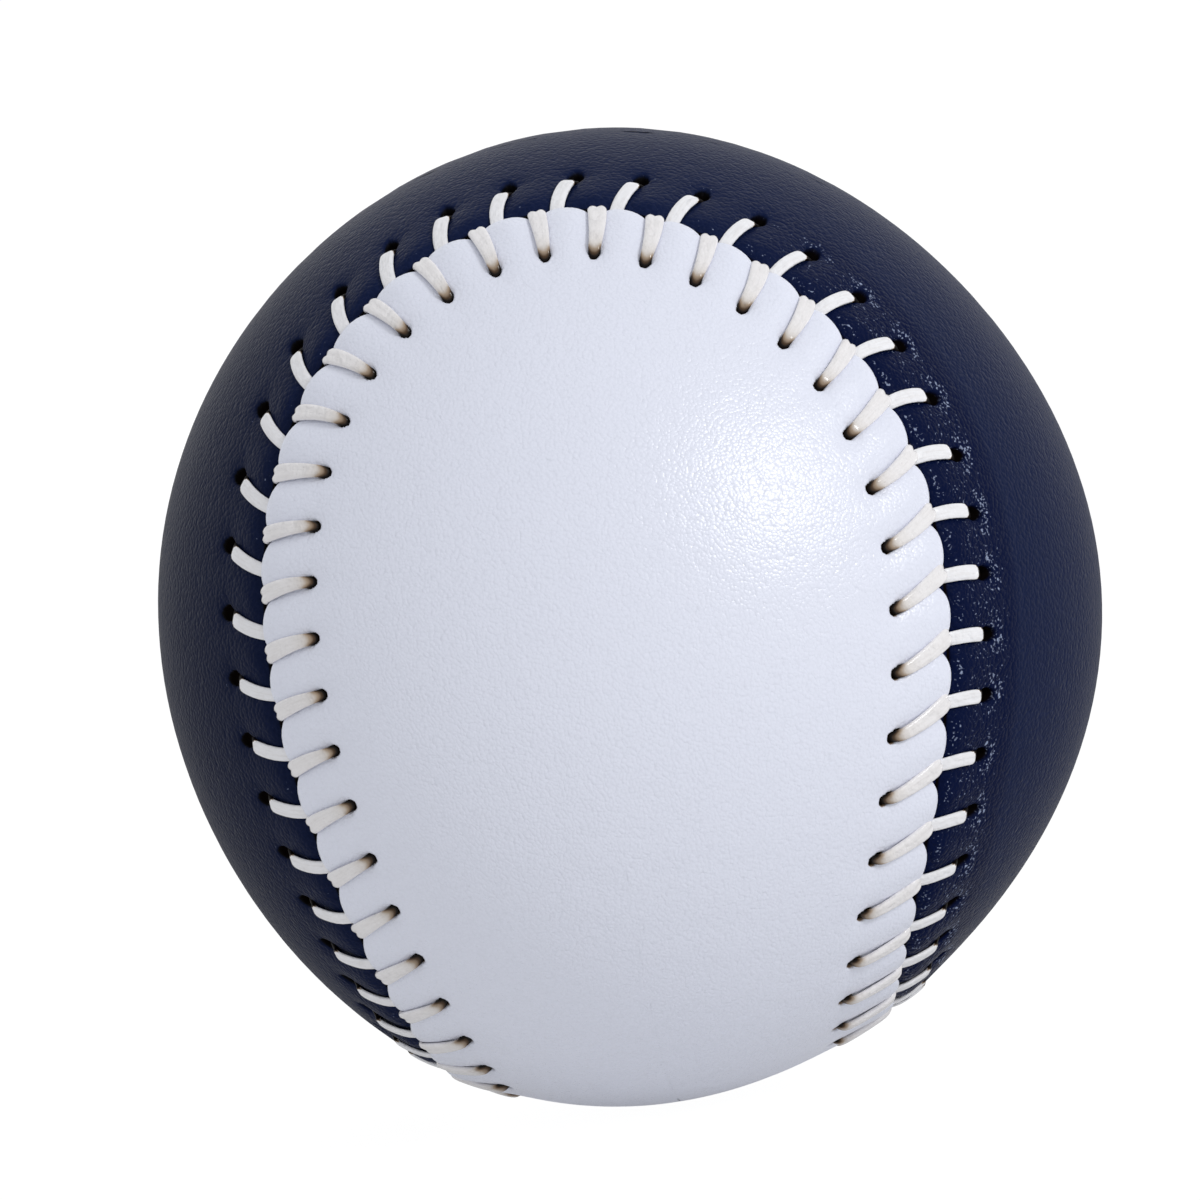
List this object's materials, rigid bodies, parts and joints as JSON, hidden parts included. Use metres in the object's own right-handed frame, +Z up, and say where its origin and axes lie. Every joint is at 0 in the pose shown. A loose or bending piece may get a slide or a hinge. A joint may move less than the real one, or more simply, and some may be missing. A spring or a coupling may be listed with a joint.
{
  "type": "baseball",
  "caption": "Two-tone hand-stitched leather ball with interlocking white and navy panels, waxed thread, wool windings and a cushioned cork centre.",
  "frame": {"origin": "centre of the ball", "axes": "+Z up through the navy panel's waist, -Z through the white panel's waist, -Y through the white lobe that faces the front, +X through the navy lobe on the right"},
  "size_m": [0.074, 0.074, 0.074],
  "materials": {
    "cork": "ground cork and rubber, matte",
    "black_rubber": "smooth moulded rubber",
    "red_rubber": "smooth moulded rubber",
    "grey_wool": "tightly wound wool yarn",
    "white_wool": "tightly wound wool yarn",
    "cotton": "fine wound yarn with cement",
    "white_leather": "smooth alum-tanned leather, satin",
    "navy_leather": "dyed grained leather, satin",
    "waxed_thread": "waxed cotton thread, slightly glossy"
  },
  "bodies": {
    "root": {"cork_centre": "cork", "black_shell_upper": "black_rubber", "black_shell_lower": "black_rubber", "centre_washer": "red_rubber", "red_jacket": "red_rubber", "inner_wool_winding": "grey_wool", "white_wool_winding": "white_wool", "outer_wool_winding": "grey_wool", "finishing_winding": "cotton", "white_panel": "white_leather", "navy_panel": "navy_leather", "seam_thread_left": "waxed_thread", "seam_thread_right": "waxed_thread"}
  },
  "joints": []
}
